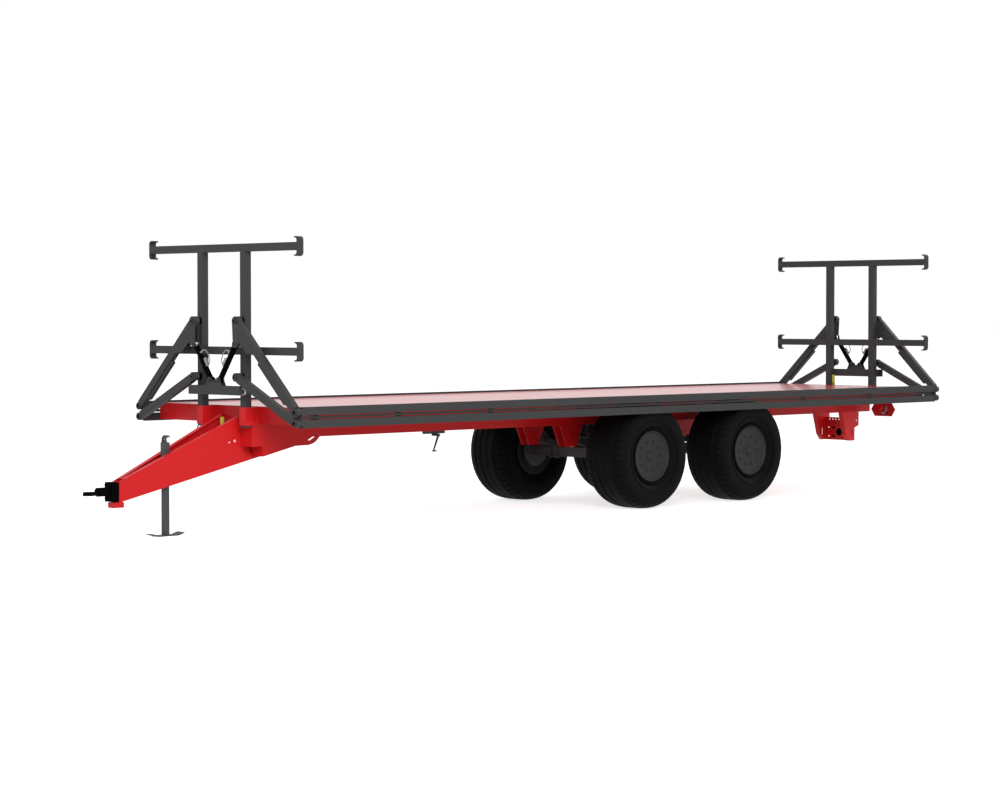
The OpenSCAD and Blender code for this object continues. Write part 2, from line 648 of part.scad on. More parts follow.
// Axle beam with its stub ends and brake backing plates
module axle(y) {
  color(dark) {
    box(-track_x + 240, track_x - 240, y - axle_s/2, y + axle_s/2, axle_z - axle_s/2, axle_z + axle_s/2);
    both_sides() {
      x_rod([track_x - 242, y, axle_z], 40, 260);
      x_rod([track_x - 270, y, axle_z], 190, 12);
    }
  }
}
module front_axle() { axle(axle1_y); }
module rear_axle() { axle(axle2_y); }
// Tyre and rim are turned about the X axis
module wheel_at(y) { translate([track_x, y, axle_z]) rotate([0, 90, 0]) children(); }
module tyre(y) {
  w = tyre_w/2;
  color(black) wheel_at(y) rotate_extrude($fn = 96) polygon([[rim_r, -w + 40], [rim_r + 40, -w + 8],
    [rim_r + 130, -w], [tyre_r - 80, -w + 6], [tyre_r - 20, -w + 36], [tyre_r, -w + 75], [tyre_r, w - 75],
    [tyre_r - 20, w - 36], [tyre_r - 80, w - 6], [rim_r + 130, w], [rim_r + 40, w - 8], [rim_r, w - 40]]);
}
module rim(y) {
  w = tyre_w/2 - 42;
  color(grey) wheel_at(y) {
    rotate_extrude($fn = 96) polygon([[rim_r, -w], [rim_r, w], [rim_r - 14, w], [rim_r - 30, w - 50],
      [rim_r - 42, 40], [110, 40 + 60], [110, 40 + 45], [rim_r - 60, 25], [rim_r - 42, -w + 60], [rim_r - 14, -w]]);
    difference() {
      union() {
        translate([0, 0, -170]) cylinder(r = 112, h = 315);
        translate([0, 0, 145]) cylinder(r = 78, h = 60);
        translate([0, 0, -210]) cylinder(r = 205, h = 120);
      }
      translate([0, 0, -250]) cylinder(r = 40 + run_clear, h = 290);
      translate([0, 0, -251]) cylinder(r = 196, h = 80);
    }
  }
}

// ---------------------------------------------------------------- rear console, lights, brake crank
// The rear hitch hangs between the long beams: two side plates with a flange down their sloping
// front edge, and a cross plate with the hitch's hole and four slots.
console_y = rear_frame_y - 570;                  // front end of the side plates' upper edge
console_low = beam_low - 380;
console_x = beam_x - beam_w/2;                   // outer face of the side plates
console_t = 14;
hitch_y = console_y + 270;                       // cross plate's front face
hitch_z = beam_low - 276;
hitch_r = 50;
console_hole_r = 10;
edge_top = [console_y, beam_low + 60];
edge_bend = [console_y + 110, beam_low - 305];
edge_low = [console_y + 180, console_low];
module rear_console() {
  color(red) {
    both_sides() {
      difference() {
        yz_plate([edge_top, edge_bend, edge_low, [console_y + 290, console_low], [console_y + 290, beam_low - 212],
          [console_y + 375, beam_low - 185], [console_y + 380, beam_low + 60]], console_x - console_t, console_t);
        box(console_x - console_t - 1, console_x + 1, console_y + 217, console_y + 239, beam_low - 320, beam_low - 230);
        x_rod([console_x - console_t - 1, console_y + 335, beam_low - 120], 14, console_t + 2);
      }
      yz_plate([edge_top, edge_bend, edge_low, edge_low + [14, 10], edge_bend + [14, 4], edge_top + [14, 0]],
        console_x - console_t - 50, 50 + 1);
    }
    difference() {
      box(-console_x + console_t, console_x - console_t, hitch_y, hitch_y + 14, console_low, beam_low - 85);
      y_rod([0, hitch_y - 1, hitch_z], hitch_r, 16);
      for (x = [-85, 85], z = [-58, 58])
        box(x - 26, x + 26, hitch_y - 1, hitch_y + 15, hitch_z + z - 12, hitch_z + z + 12);
      // two more bolt holes on each side, and a row along the upper edge
      for (x = [-165, 165], z = [-58, 58]) y_rod([x, hitch_y - 1, hitch_z + z], console_hole_r, 16);
      for (i = [-3:3]) y_rod([i*50, hitch_y - 1, beam_low - 112], console_hole_r, 16);
    }
  }
}
light_y = rear_frame_y - 230;
light_z = cross_top - 292;                       // middle of a six-sided lamp plate
light_w = 380;
light_h = 175;
light_x = 660;
module light_plate() {
  a = light_w/2;
  b = light_h/2;
  color(red) {
    xz_plate([[light_x - a, light_z], [light_x - a*0.7, light_z - b], [light_x + a*0.7, light_z - b],
      [light_x + a, light_z], [light_x + a*0.7, light_z + b], [light_x - a*0.7, light_z + b]], light_y, 10);
    box(light_x - 20, light_x + 20, light_y - 12, light_y, light_z, end_beam_low);
  }
}
module light_left() { light_plate(); }
module light_right() { at_side(true) light_plate(); }
// Parking brake: a bracket under the left beam, a spindle and a hanging crank arm
crank_y = frame_y + 2700;
crank_low = beam_low - 215;
module brake_crank() {
  color(dark) {
    box(beam_x - 20, beam_x + 20, crank_y - 170, crank_y + 130, beam_low - 30, beam_low);
    x_rod([beam_x - 20, crank_y - 20, beam_low - 42], 14, 110);
    yz_plate([[crank_y - 34, beam_low - 40], [crank_y - 6, beam_low - 46], [crank_y - 86, crank_low],
      [crank_y - 104, crank_low]], beam_x + 70, 8);
    x_rod([beam_x + 60, crank_y - 95, crank_low + 4], 8, 60);
  }
}

drawbar();
drawbar_braces();
tow_block();
tow_eye();
chassis_beams();
cross_members();
side_sills();
front_beam();
rear_beam();
deck();
front_frame();
rear_frame();
front_pins();
rear_pins();
jack_sleeve();
jack_leg();
hangers();
leaf_springs();
equalisers();
front_axle();
rear_axle();
rear_console();
light_left();
light_right();
brake_crank();
tyre(axle1_y);  // tyre_fl
at_side(true) tyre(axle1_y);  // tyre_fr
tyre(axle2_y);  // tyre_rl
at_side(true) tyre(axle2_y);  // tyre_rr
rim(axle1_y);  // rim_fl
at_side(true) rim(axle1_y);  // rim_fr
rim(axle2_y);  // rim_rl
at_side(true) rim(axle2_y);  // rim_rr
upper_arm();  // upper_arm_fl
at_side(true) upper_arm();  // upper_arm_fr
at_end(true) upper_arm();  // upper_arm_rl
at_end(true) at_side(true) upper_arm();  // upper_arm_rr
lower_arm();  // lower_arm_fl
at_side(true) lower_arm();  // lower_arm_fr
at_end(true) lower_arm();  // lower_arm_rl
at_end(true) at_side(true) lower_arm();  // lower_arm_rr
rail();  // rail_left
at_side(true) rail();  // rail_right
barrel();  // barrel_fl
at_side(true) barrel();  // barrel_fr
at_end(true) barrel();  // barrel_rl
at_end(true) at_side(true) barrel();  // barrel_rr
rod();  // rod_fl
at_side(true) rod();  // rod_fr
at_end(true) rod();  // rod_rl
at_end(true) at_side(true) rod();  // rod_rr
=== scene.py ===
import bmesh
import bpy
import numpy as np
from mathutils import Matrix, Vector


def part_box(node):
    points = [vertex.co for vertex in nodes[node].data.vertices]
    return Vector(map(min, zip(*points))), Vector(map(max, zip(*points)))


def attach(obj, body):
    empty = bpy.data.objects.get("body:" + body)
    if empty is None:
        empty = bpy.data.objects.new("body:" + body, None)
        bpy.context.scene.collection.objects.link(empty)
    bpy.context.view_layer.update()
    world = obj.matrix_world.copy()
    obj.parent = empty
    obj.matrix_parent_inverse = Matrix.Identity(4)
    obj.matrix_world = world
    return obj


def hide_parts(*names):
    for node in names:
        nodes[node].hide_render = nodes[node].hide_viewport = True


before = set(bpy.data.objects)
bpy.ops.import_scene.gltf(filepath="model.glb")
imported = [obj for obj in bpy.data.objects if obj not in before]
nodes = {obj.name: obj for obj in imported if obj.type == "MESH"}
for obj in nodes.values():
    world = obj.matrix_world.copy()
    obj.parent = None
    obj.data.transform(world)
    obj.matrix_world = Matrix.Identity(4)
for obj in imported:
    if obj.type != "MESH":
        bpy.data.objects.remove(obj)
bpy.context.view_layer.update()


# ---------------------------------------------------------------- studio and camera
# A pale floor that runs up behind the trailer, two large soft lamps overhead and a white
# surround. The camera stands well ahead of the drawbar on the trailer's left, at eye height.
scene = bpy.context.scene
scene.view_settings.view_transform = "Standard"

camera_at = Vector((19.83, -20.213, 2.204))      # metres, in the trailer's own frame
camera_turn = np.radians(44.75)                  # left of straight along the trailer
camera_dip = np.radians(1.717)
camera = bpy.data.objects.new("camera", bpy.data.cameras.new("camera"))
scene.collection.objects.link(camera)
look = Vector((-np.sin(camera_turn) * np.cos(camera_dip), np.cos(camera_turn) * np.cos(camera_dip),
               -np.sin(camera_dip)))
camera.rotation_euler = look.to_track_quat("-Z", "Y").to_euler()
camera.location = camera_at
camera.data.sensor_width = 36
camera.data.lens = 89.13
camera.data.shift_x = -0.0177
camera.data.shift_y = -0.0111
camera.data.clip_end = 400
scene.camera = camera


def shader_nodes(material):
    """Clears a material or world and gives its node tree, a maker of nodes and a joiner of sockets."""
    material.use_nodes = True
    tree = material.node_tree
    tree.nodes.clear()

    def make(kind, **settings):
        node = tree.nodes.new(kind)
        for key, value in settings.items():
            if key in node.inputs:
                node.inputs[key].default_value = value
            else:
                setattr(node, key, value)
        return node

    return tree, make, tree.links.new


def seen_directly(make, join):
    """A value that is 1 for rays from the camera or by way of a mirror or clear surface, and 0 for the
    light that falls on things."""
    rays = make("ShaderNodeLightPath")
    value = rays.outputs["Is Camera Ray"]
    for kind in ("Is Glossy Ray", "Is Transmission Ray"):
        either = make("ShaderNodeMath", operation="MAXIMUM")
        join(value, either.inputs[0])
        join(rays.outputs[kind], either.inputs[1])
        value = either.outputs[0]
    return value


world = bpy.data.worlds.new("studio")
scene.world = world
tree, make, join = shader_nodes(world)
sky = make("ShaderNodeBackground", Color=(1, 1, 1, 1), Strength=0.42)
seen = make("ShaderNodeBackground", Color=(1, 1, 1, 1), Strength=1.0)
blend = make("ShaderNodeMixShader")
out = make("ShaderNodeOutputWorld")
join(seen_directly(make, join), blend.inputs["Fac"])
join(sky.outputs[0], blend.inputs[1])
join(seen.outputs[0], blend.inputs[2])
join(blend.outputs[0], out.inputs["Surface"])

# The floor is matt, with a glow that only the camera and mirrors see, so that it is as pale as the
# surround.
floor_material = bpy.data.materials.new("studio_floor")
tree, make, join = shader_nodes(floor_material)
matt = make("ShaderNodeBsdfPrincipled", **{"Base Color": (0.8, 0.8, 0.8, 1), "Roughness": 0.9})
glow = make("ShaderNodeEmission", Color=(1, 1, 1, 1), Strength=0.72)
no_glow = make("ShaderNodeEmission", Color=(0, 0, 0, 1), Strength=0.0)
choice = make("ShaderNodeMixShader")
lift = make("ShaderNodeAddShader")
out = make("ShaderNodeOutputMaterial")
join(seen_directly(make, join), choice.inputs["Fac"])
join(no_glow.outputs[0], choice.inputs[1])
join(glow.outputs[0], choice.inputs[2])
join(matt.outputs[0], lift.inputs[0])
join(choice.outputs[0], lift.inputs[1])
join(lift.outputs[0], out.inputs["Surface"])

reach = 150                     # metres from the middle to the floor's edge
floor_mesh = bpy.data.meshes.new("floor")
floor_corners = [(-reach, -reach, 0), (reach, -reach, 0), (reach, reach, 0), (-reach, reach, 0)]
floor_mesh.from_pydata(floor_corners, [], [(0, 1, 2, 3)])
floor = bpy.data.objects.new("floor", floor_mesh)
floor_mesh.materials.append(floor_material)
scene.collection.objects.link(floor)


def soft_lamp(name, place, aim, size, power):
    """A square area lamp that points from one place at another."""
    lamp = bpy.data.lights.new(name, "AREA")
    lamp.shape = "SQUARE"
    lamp.size = size
    lamp.energy = power
    holder = bpy.data.objects.new(name, lamp)
    holder.location = place
    holder.rotation_euler = (Vector(aim) - Vector(place)).to_track_quat("-Z", "Y").to_euler()
    scene.collection.objects.link(holder)


soft_lamp("key_lamp", (15, -13, 9), (0, -2, 1), 8, 2300)
soft_lamp("fill_lamp", (-12, -8, 10), (0, 0, 1), 9, 500)
soft_lamp("back_lamp", (4, 16, 12), (0, 0, 1), 8, 800)


# ---------------------------------------------------------------- enamelled steelwork
# Welded plates and tubes, sprayed with a thick gloss enamel: red on the chassis, deck and
# drawbar, charcoal on the end frames, arms and rails. New paint, with a light orange peel.
def enamel(name, colour, roughness, coat, peel=0.1, specular=0.5):
    """Enamel on steel: broad slight drifts of tone, a fine orange peel and a clear coat."""
    material = bpy.data.materials.new(name)
    tree, make, join = shader_nodes(material)
    place = make("ShaderNodeTexCoord")
    drift = make("ShaderNodeTexNoise", Scale=1.3, Detail=4.0)
    tone = make("ShaderNodeMixRGB", blend_type="MIX")
    tone.inputs["Color1"].default_value = (*[c * 0.9 for c in colour], 1)
    tone.inputs["Color2"].default_value = (*[min(c * 1.08, 1) for c in colour], 1)
    film = make("ShaderNodeTexNoise", Scale=9.0, Detail=5.0)
    gloss = make("ShaderNodeMapRange")
    gloss.inputs["To Min"].default_value = roughness * 0.85
    gloss.inputs["To Max"].default_value = roughness * 1.2
    grain = make("ShaderNodeTexNoise", Scale=260.0, Detail=2.0)
    bump = make("ShaderNodeBump", Strength=peel, Distance=0.0005)
    steel = make("ShaderNodeBsdfPrincipled")
    steel.inputs["Coat Weight"].default_value = coat
    steel.inputs["Coat Roughness"].default_value = 0.08
    steel.inputs["Specular IOR Level"].default_value = specular
    out = make("ShaderNodeOutputMaterial")
    for noise in (drift, film, grain):
        join(place.outputs["Object"], noise.inputs["Vector"])
    join(drift.outputs["Fac"], tone.inputs["Fac"])
    join(tone.outputs["Color"], steel.inputs["Base Color"])
    join(film.outputs["Fac"], gloss.inputs["Value"])
    join(gloss.outputs["Result"], steel.inputs["Roughness"])
    join(grain.outputs["Fac"], bump.inputs["Height"])
    join(bump.outputs["Normal"], steel.inputs["Normal"])
    join(steel.outputs[0], out.inputs["Surface"])
    return material


red_enamel = enamel("red_enamel", (0.62, 0.012, 0.014), 0.42, 0.06, specular=0.16)
deck_enamel = enamel("deck_enamel", (0.56, 0.04, 0.05), 0.3, 0.35, peel=0.0, specular=0.45)
# The sills' red is darker than the chassis red: painted shade, for the shade they sit in behind the rails.
sill_enamel_painted_shade = enamel("sill_enamel_painted_shade", (0.42, 0.03, 0.034), 0.5, 0.0, specular=0.12)
# The console's red is brighter than the chassis red: painted light, for the strong light that falls on the
# console.
console_enamel_painted_light = enamel("console_enamel_painted_light", (0.85, 0.03, 0.028), 0.42, 0.06, specular=0.16)
charcoal_enamel = enamel("charcoal_enamel", (0.042, 0.043, 0.044), 0.55, 0.03, specular=0.16)
dark_enamel = enamel("dark_enamel", (0.06, 0.062, 0.068), 0.55, 0.03, specular=0.25)
black_enamel = enamel("black_enamel", (0.0016, 0.0016, 0.0018), 0.75, 0.0, specular=0.02)


def finish_node(name, material, edge=0.002):
    """Puts a material on a CAD piece and rounds its folded and cut edges by a small radius."""
    node = nodes[name]
    node.data.materials.clear()
    node.data.materials.append(material)
    weld = node.modifiers.new("joined_faces", "WELD")
    weld.merge_threshold = 0.00005
    bevel = node.modifiers.new("soft_edges", "BEVEL")
    bevel.width = edge
    bevel.segments = 2
    bevel.limit_method = "ANGLE"
    bevel.angle_limit = np.radians(35)
    bevel.harden_normals = True


red_steel = ["drawbar", "drawbar_braces", "chassis_beams", "cross_members", "front_beam",
             "rear_beam", "hangers", "light_left", "light_right"]
corners = ["fl", "fr", "rl", "rr"]
grey_steel = ["front_frame", "rear_frame", "rail_left", "rail_right"]
grey_steel += [f"{arm}_{corner}" for arm in ("upper_arm", "lower_arm") for corner in corners]
dark_steel = ["jack_sleeve", "jack_leg", "leaf_springs", "equalisers", "front_axle", "rear_axle",
              "brake_crank"]
black_steel = ["tow_block", "tow_eye", "front_pins", "rear_pins"]
black_steel += [f"barrel_{corner}" for corner in corners]
for names, material in ((red_steel, red_enamel), (["deck"], deck_enamel), (["side_sills"], sill_enamel_painted_shade),
                        (["rear_console"], console_enamel_painted_light), (grey_steel, charcoal_enamel),
                        (dark_steel, dark_enamel), (black_steel, black_enamel)):
    for name in names:
        finish_node(name, material)


# ---------------------------------------------------------------- piston rods
# Ground and chromed round bar that slides out of each cylinder. Its far end is an eye on the
# upper arm's pin.
def bright_metal(name, colour, roughness):
    """Bare bright metal with fine grinding marks."""
    material = bpy.data.materials.new(name)
    tree, make, join = shader_nodes(material)
    place = make("ShaderNodeTexCoord")
    marks = make("ShaderNodeTexNoise", Scale=420.0, Detail=3.0)
    tone = make("ShaderNodeMixRGB", blend_type="MIX")
    tone.inputs["Color1"].default_value = (*[c * 0.8 for c in colour], 1)
    tone.inputs["Color2"].default_value = (*colour, 1)
    bump = make("ShaderNodeBump", Strength=0.08, Distance=0.0004)
    metal = make("ShaderNodeBsdfPrincipled", Metallic=1.0, Roughness=roughness)
    out = make("ShaderNodeOutputMaterial")
    join(place.outputs["Object"], marks.inputs["Vector"])
    join(marks.outputs["Fac"], tone.inputs["Fac"])
    join(tone.outputs["Color"], metal.inputs["Base Color"])
    join(marks.outputs["Fac"], bump.inputs["Height"])
    join(bump.outputs["Normal"], metal.inputs["Normal"])
    join(metal.outputs[0], out.inputs["Surface"])
    return material


chrome = bright_metal("chromed_bar", (0.72, 0.73, 0.75), 0.16)
for corner in corners:
    finish_node(f"rod_{corner}", chrome, 0.001)


# ---------------------------------------------------------------- tyres
# Wide low-pressure flotation tyres: round shoulders, a nearly flat ribbed tread with zigzag
# grooves and cross cuts, and a bead ring that sits against the rim's edge.
def add_piece(name, parts, material, body, smooth=40, replaced=()):
    """Joins (points, faces) parts into one mesh with its faces outwards, and rides it on a body."""
    points, faces, base = [], [], 0
    for part_points, part_faces in parts:
        points.append(part_points)
        faces += [[corner + base for corner in face] for face in part_faces]
        base += len(part_points)
    mesh = bpy.data.meshes.new(name)
    mesh.from_pydata(np.concatenate(points).tolist(), [], faces)
    shape = bmesh.new()
    shape.from_mesh(mesh)
    bmesh.ops.remove_doubles(shape, verts=shape.verts, dist=1e-5)
    bmesh.ops.recalc_face_normals(shape, faces=shape.faces)
    shape.to_mesh(mesh)
    shape.free()
    mesh.shade_smooth()
    mesh.set_sharp_from_angle(angle=np.radians(smooth))
    mesh.materials.append(material)
    piece = bpy.data.objects.new(name, mesh)
    scene.collection.objects.link(piece)
    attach(piece, body)
    if replaced:
        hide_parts(*replaced)
    return piece


def grid_faces(rows, columns, wrap_rows=False, wrap_columns=False):
    """Four-cornered faces between neighbours of a grid of points, closed round on either side if asked."""
    row = np.arange(rows if wrap_rows else rows - 1)[:, None]
    column = np.arange(columns if wrap_columns else columns - 1)[None, :]
    next_row, next_column = (row + 1) % rows, (column + 1) % columns
    quads = np.stack([row * columns + column, row * columns + next_column,
                      next_row * columns + next_column, next_row * columns + column], -1)
    return quads.reshape(-1, 4).tolist()


def turned(profile, centre, turns, closed=True):
    """A profile of (radius, reach along X) turned about an X axis through centre:
    y = r cos a, z = r sin a."""
    angle = np.linspace(0, 2 * np.pi, turns, endpoint=False)[:, None]
    radius, reach = profile[:, 0][None, :], profile[:, 1][None, :]
    points = np.stack([centre[0] + reach + 0 * angle, centre[1] + radius * np.cos(angle),
                       centre[2] + radius * np.sin(angle)], -1)
    return points.reshape(-1, 3), grid_faces(turns, len(profile), True, closed)


def rubber(name, colour):
    """Tyre rubber: near black, slightly bluish grey where it has rubbed, with a fine moulded grain."""
    material = bpy.data.materials.new(name)
    tree, make, join = shader_nodes(material)
    place = make("ShaderNodeTexCoord")
    patches = make("ShaderNodeTexNoise", Scale=5.0, Detail=6.0)
    tone = make("ShaderNodeMixRGB", blend_type="MIX")
    tone.inputs["Color1"].default_value = (*colour, 1)
    tone.inputs["Color2"].default_value = (*[c * 1.9 for c in colour], 1)
    dull = make("ShaderNodeMapRange")
    dull.inputs["To Min"].default_value = 0.5
    dull.inputs["To Max"].default_value = 0.75
    grain = make("ShaderNodeTexNoise", Scale=180.0, Detail=4.0)
    bump = make("ShaderNodeBump", Strength=0.25, Distance=0.001)
    skin = make("ShaderNodeBsdfPrincipled", **{"Specular IOR Level": 0.05})
    out = make("ShaderNodeOutputMaterial")
    for noise in (patches, grain):
        join(place.outputs["Object"], noise.inputs["Vector"])
    join(patches.outputs["Fac"], tone.inputs["Fac"])
    join(patches.outputs["Fac"], dull.inputs["Value"])
    join(tone.outputs["Color"], skin.inputs["Base Color"])
    join(dull.outputs["Result"], skin.inputs["Roughness"])
    join(grain.outputs["Fac"], bump.inputs["Height"])
    join(bump.outputs["Normal"], skin.inputs["Normal"])
    join(skin.outputs[0], out.inputs["Surface"])
    return material


tyre_rubber = rubber("tyre_rubber", (0.0024, 0.0024, 0.0026))
tyre_turns = 360                # sections round a tyre
tread_pitches = 45              # cross cuts round the tread
groove_places = (-0.155, -0.055, 0.055, 0.155)
groove_half = 0.0065            # metres, half a groove's width
groove_deep = 0.011
zigzag_swing = 0.004
tread_crown = 0.012             # drop of the tread from its middle to its shoulders
# (height above the rim's edge, share of the tyre's half width, size) of the beads and rubbing ribs
wall_ribs = ((0.016, 0.862, 0.007), (0.11, 0.985, 0.005), (0.205, 0.985, 0.004))


def tyre_skin(radius, half, rim_edge):
    """The outside of a tyre from bead to bead.
    The section is a superellipse, |x/half|^n + |(r - waist)/height|^n = 1, with n 4 above the waist and
    2.4 below it, minus zigzag grooves that run round the tread and short cuts across both shoulders."""
    waist = rim_edge + 0.45 * (radius - rim_edge)
    upper = np.linspace(0.0, np.pi, 121)
    lower = np.linspace(0.0, np.pi / 2, 16)[1:]

    def section(angle, power, height):
        across = np.sign(np.cos(angle)) * np.abs(np.cos(angle)) ** (2 / power)
        up = np.abs(np.sin(angle)) ** (2 / power)
        return half * across, height * up

    top_x, top_r = section(upper, 4.4, radius - waist)
    side_x, side_r = section(lower, 2.6, waist - rim_edge)
    tuck = 0.84                 # the beads stand closer together than the walls
    low_x = half * tuck + (side_x - half * tuck) * np.clip(1 - side_r / (waist - rim_edge), 0, 1) ** 0.6
    x = np.concatenate([low_x[::-1], top_x, -low_x])
    r = np.concatenate([waist - side_r[::-1], waist + top_r, waist - side_r])
    angle = np.linspace(0, 2 * np.pi, tyre_turns, endpoint=False)[:, None]
    zigzag = zigzag_swing * (2 / np.pi) * np.arcsin(np.sin(angle * tread_pitches))
    on_tread = np.clip((r - (radius - 0.06)) / 0.03, 0, 1)[None, :]
    depth = np.zeros((tyre_turns, len(x)))
    for place in groove_places:
        off = np.abs(x[None, :] - place - zigzag)
        depth = np.maximum(depth, np.clip((groove_half + 0.004 - off) / 0.004, 0, 1))
    shoulder = np.clip((np.abs(x) - 0.172) / 0.01, 0, 1)[None, :]
    cut = (np.cos(angle * tread_pitches) > 0.72) * shoulder
    depth = np.maximum(depth, 0.85 * cut)
    crown = tread_crown * (x[None, :] / half) ** 2
    radius_here = r[None, :] - groove_deep * depth * on_tread - crown * on_tread
    return x, radius_here, angle


for corner in corners:
    low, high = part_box(f"tyre_{corner}")
    centre = (low + high) / 2
    side = 1 if centre.x > 0 else -1
    tyre_radius, tyre_half = (high.z - low.z) / 2, (high.x - low.x) / 2
    rim_low, rim_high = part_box(f"rim_{corner}")
    rim_edge = (rim_high.z - rim_low.z) / 2
    x, r, angle = tyre_skin(tyre_radius, tyre_half, rim_edge)
    points = np.stack([centre.x + side * x[None, :] + 0 * angle, centre.y + r * np.cos(angle),
                       centre.z + r * np.sin(angle)], -1).reshape(-1, 3)
    tyre = (points, grid_faces(tyre_turns, len(x), True, True))
    # a raised bead and two rubbing ribs round each wall
    ribs = []
    for wall in (-1, 1):
        for rib_height, rib_reach, rib_size in wall_ribs:
            turn = np.linspace(0, 2 * np.pi, 10, endpoint=False)
            rib = np.stack([rim_edge + rib_height + rib_size * np.cos(turn),
                            wall * tyre_half * rib_reach + rib_size * np.sin(turn)], -1)
            ribs.append(turned(rib, centre, 120))
    add_piece(f"tyre_{corner}_tread", [tyre] + ribs, tyre_rubber, f"wheel_{corner}", 32,
              [f"tyre_{corner}"])


# ---------------------------------------------------------------- rims
# Pressed steel wheels with a nearly flat disc close to the outer edge, sprayed dark grey: a
# rolled edge, a low cone with ten small nuts, and a domed cap over the hub.
rim_enamel = enamel("rim_enamel", (0.03, 0.0305, 0.0325), 0.55, 0.0, specular=0.12)
nut_circle = 0.1675
nut_count = 10
edge_x = 0.248                  # metres from the wheel's middle to the rim's edge


def six_sided(centre, size, height, axis_x=1, turn=0.0):
    """A nut about an X axis: a hexagon that narrows a little at its outer end."""
    steps = np.arange(6) * np.pi / 3 + turn
    levels = np.array([[0, 1.0], [height * 0.85, 1.0], [height, 0.86], [height, 0.0]])
    points = np.stack([centre[0] + axis_x * levels[:, 0][None, :] + 0 * steps[:, None],
                       centre[1] + size * levels[:, 1][None, :] * np.cos(steps)[:, None],
                       centre[2] + size * levels[:, 1][None, :] * np.sin(steps)[:, None]], -1)
    return points.reshape(-1, 3), grid_faces(6, len(levels), True, False)


def rim_section(edge_r):
    """(radius, reach outwards from the wheel's middle) round the section of the pressing, as a closed
    line."""
    flat = edge_x - 0.036       # where the disc meets the hub
    sheet = 0.012
    face = [(edge_r, edge_x), (edge_r - 0.005, edge_x + 0.005), (edge_r - 0.012, edge_x + 0.003),
            (edge_r - 0.017, edge_x - 0.008), (edge_r - 0.026, edge_x - 0.018),
            (edge_r - 0.05, edge_x - 0.023), (0.195, edge_x - 0.03), (0.15, edge_x - 0.034), (0.112, flat)]
    back = [(0.112, flat - sheet), (0.15, flat - sheet), (0.195, flat - sheet + 0.004),
            (edge_r - 0.056, flat - sheet + 0.008), (edge_r - 0.058, flat - 0.04)]
    well = [(edge_r - 0.058, 0.05 - edge_x), (0.207, 0.045 - edge_x), (0.207, 0.03 - edge_x),
            (edge_r - 0.05, 0.024 - edge_x), (edge_r - 0.02, 0.008 - edge_x), (edge_r - 0.012, -edge_x),
            (edge_r, -edge_x), (edge_r, 0.02 - edge_x), (edge_r - 0.02, 0.04 - edge_x),
            (edge_r - 0.04, 0.09 - edge_x), (edge_r - 0.04, edge_x - 0.12), (edge_r - 0.014, edge_x - 0.06),
            (edge_r - 0.006, edge_x - 0.02)]
    return np.array(face + back + well)


for corner in corners:
    low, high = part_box(f"rim_{corner}")
    centre = (low + high) / 2
    side = 1 if centre.x > 0 else -1
    tyre_low, tyre_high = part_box(f"tyre_{corner}")
    at = ((tyre_low.x + tyre_high.x) / 2, centre.y, centre.z)
    section = rim_section((high.z - low.z) / 2)
    section[:, 1] *= side
    disc = turned(section, at, 128)
    # hub cap, hub barrel and brake drum, from the outside to the inside
    hub_line = np.array([(0.0, 0.236), (0.028, 0.234), (0.044, 0.228), (0.052, 0.218), (0.054, 0.2125),
                         (0.06, 0.2125), (0.062, 0.2145), (0.076, 0.2145), (0.078, 0.2125),
                         (0.112, 0.2125), (0.112, -0.17), (0.2, -0.17), (0.204, -0.16), (0.204, -0.205),
                         (0.2, -0.21), (0.0, -0.21)])
    hub_line[:, 1] *= side
    hub = turned(hub_line, at, 96, False)
    add_piece(f"rim_{corner}_disc", [disc, hub], rim_enamel, f"wheel_{corner}", 35,
              [f"rim_{corner}"])
    nuts = []
    for step in range(nut_count):
        turn = 2 * np.pi * step / nut_count
        spot = (at[0] + side * (edge_x - 0.034), at[1] + nut_circle * np.cos(turn),
                at[2] + nut_circle * np.sin(turn))
        nuts.append(six_sided(spot, 0.015, 0.01, side, turn))
        stud = np.array([(0.008, 0.0), (0.008, 0.013 * side), (0.007, 0.014 * side), (0.0, 0.014 * side)])
        nuts.append(turned(stud, spot, 16, False))
    add_piece(f"wheel_nuts_{corner}", nuts, rim_enamel, f"wheel_{corner}", 30)


# ---------------------------------------------------------------- cylinder fittings
# Each lifting cylinder has a black gland nut, and two zinc-plated ports on the side that faces the
# trailer's middle with a bent steel pipe that loops from one port to the other.
def swept(path, radius, around=14):
    """A round bar along a path. Each ring stands square to the path: p + radius (u cos a + v sin a)."""
    path = np.asarray(path, float)
    along = np.gradient(path, axis=0)
    along /= np.linalg.norm(along, axis=1)[:, None]
    first = np.cross(along[0], (0.31, 0.17, 0.93))
    across = [first / np.linalg.norm(first)]
    for heading in along[1:]:
        kept = across[-1] - np.dot(across[-1], heading) * heading
        across.append(kept / np.linalg.norm(kept))
    u = np.array(across)[:, None, :]
    v = np.cross(along, np.array(across))[:, None, :]
    angle = np.linspace(0, 2 * np.pi, around, endpoint=False)[None, :, None]
    points = (path[:, None, :] + radius * (u * np.cos(angle) + v * np.sin(angle))).reshape(-1, 3)
    caps = [list(range(around)), list(range(len(points) - around, len(points)))]
    return points, grid_faces(len(path), around, False, True) + caps


def bend(start, pull, end, steps=20):
    """Points of a bend from start to end, drawn towards pull:
    (1 - t)^2 start + 2 t (1 - t) pull + t^2 end."""
    t = np.linspace(0, 1, steps)[:, None]
    start, pull, end = np.asarray(start, float), np.asarray(pull, float), np.asarray(end, float)
    return (1 - t) ** 2 * start + 2 * t * (1 - t) * pull + t ** 2 * end


